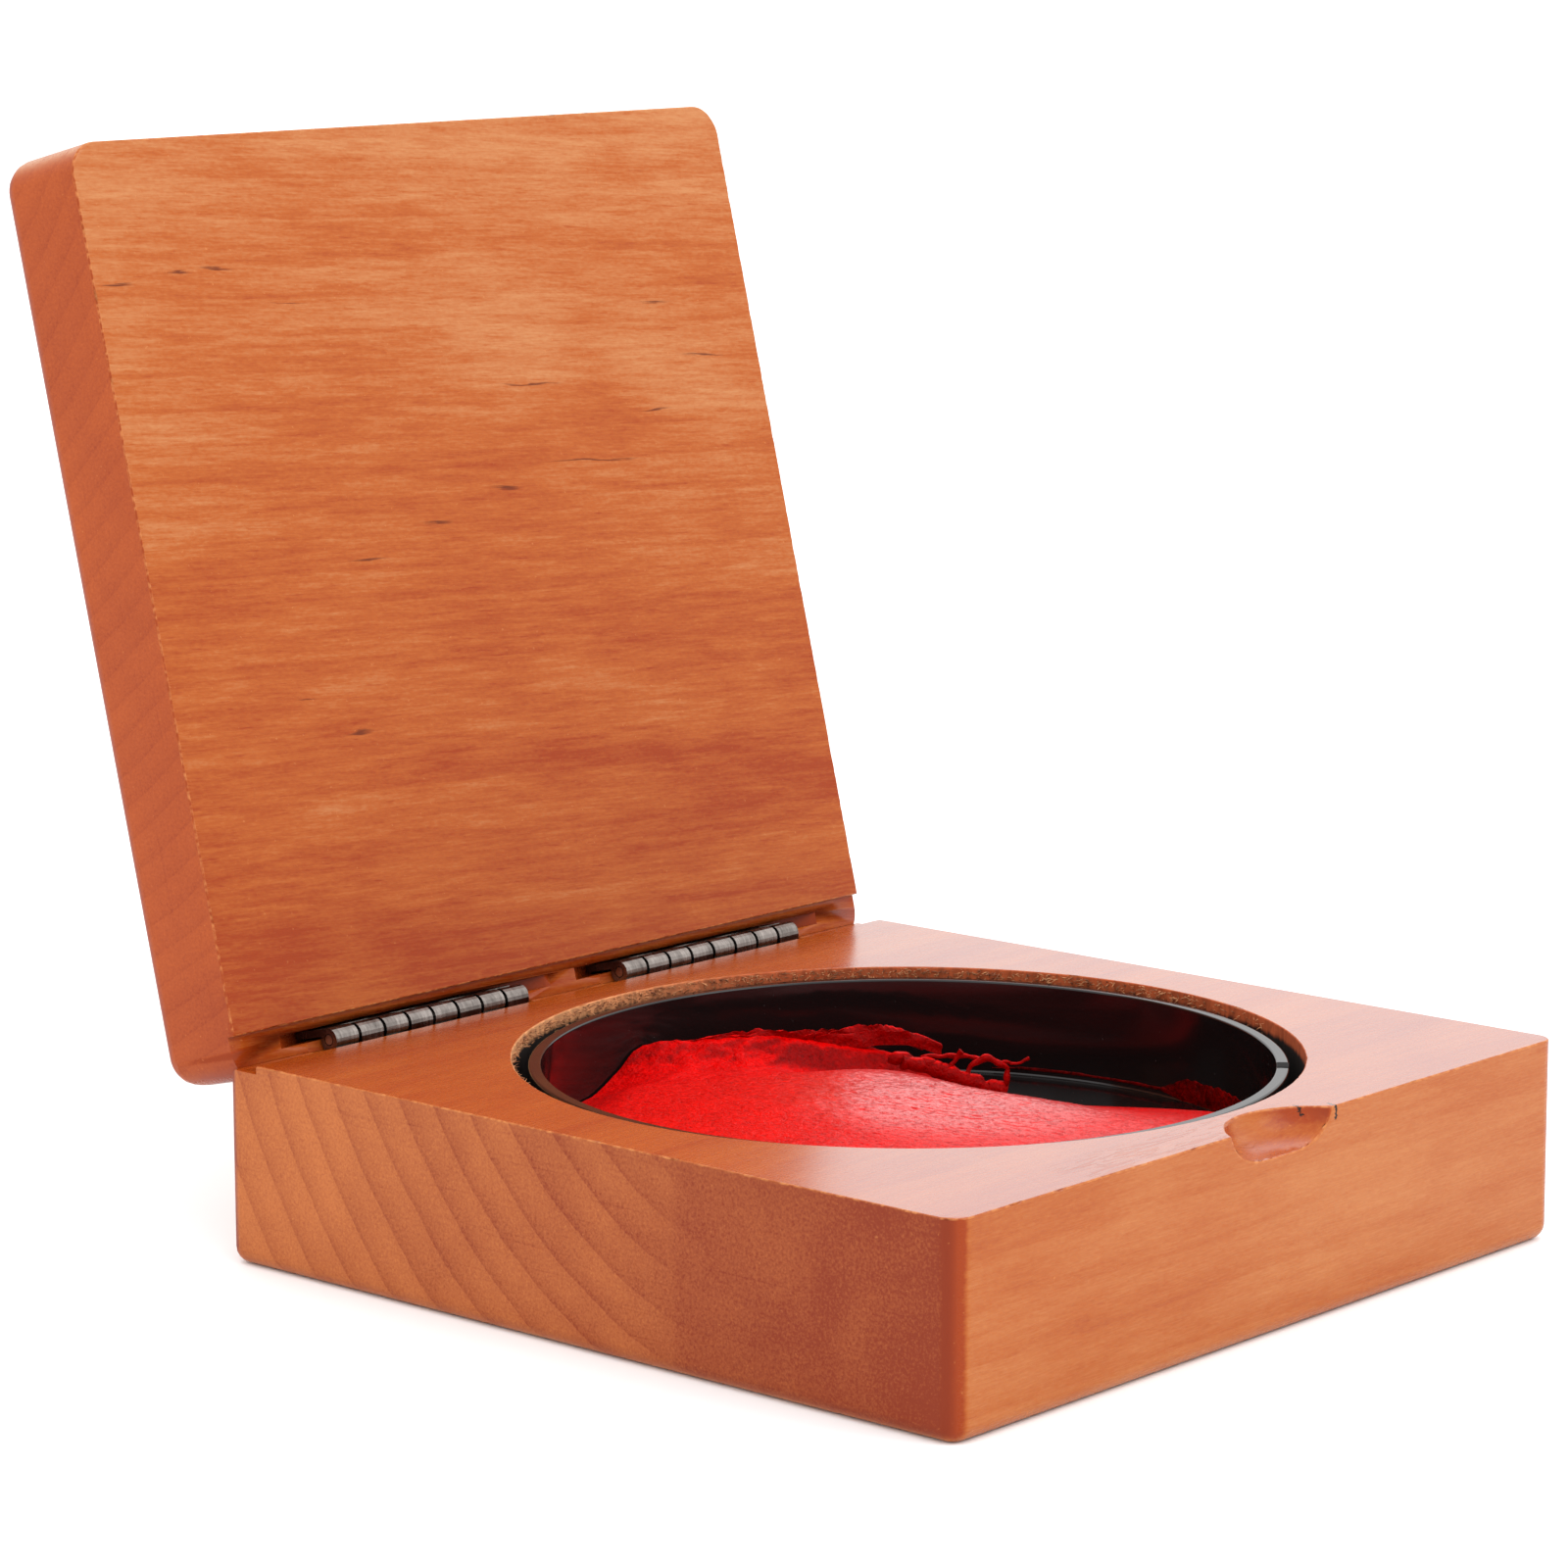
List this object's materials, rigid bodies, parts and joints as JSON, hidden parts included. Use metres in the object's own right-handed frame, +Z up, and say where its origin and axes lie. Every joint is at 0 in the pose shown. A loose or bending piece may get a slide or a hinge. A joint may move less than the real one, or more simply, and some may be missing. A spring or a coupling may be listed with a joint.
{
  "type": "ink pad",
  "caption": "Hinged square wooden case with a finger notch, holding a round black dish of red seal paste for inking stamps and seals.",
  "frame": {"origin": "centre of the base's flat underside", "axes": "+Z up, -Y out of the front face with the finger notch, +Y towards the hinges, +X along the hinge axis and the wood's grain"},
  "size_m": [0.1, 0.1324, 0.1169],
  "materials": {
    "base_wood": "reddish-brown stain under a satin lacquer, close straight grain",
    "lid_wood": "reddish-brown stain under a satin lacquer, close straight grain with short dark flecks",
    "dish_plastic": "polished black moulded plastic",
    "paste": "oily vermilion paste with fine fibres",
    "hinge_steel": "steel with a dark antique nickel plating, lightly brushed",
    "pin_steel": "plain drawn steel wire"
  },
  "bodies": {
    "base": {"base_block": "base_wood", "ink_dish": "dish_plastic", "seal_paste": "paste", "hinge_left_base_leaf": "hinge_steel", "hinge_left_pin": "pin_steel", "hinge_right_base_leaf": "hinge_steel", "hinge_right_pin": "pin_steel"},
    "lid": {"lid_block": "lid_wood", "hinge_left_lid_leaf": "hinge_steel", "hinge_right_lid_leaf": "hinge_steel"}
  },
  "joints": [
    {"name": "lid_hinge", "type": "hinge", "parent": "base", "child": "lid", "pos_m": [0, 0.0476, 0.02215], "axis": [1, 0, 0], "range_deg": [0, 103.8]}
  ]
}
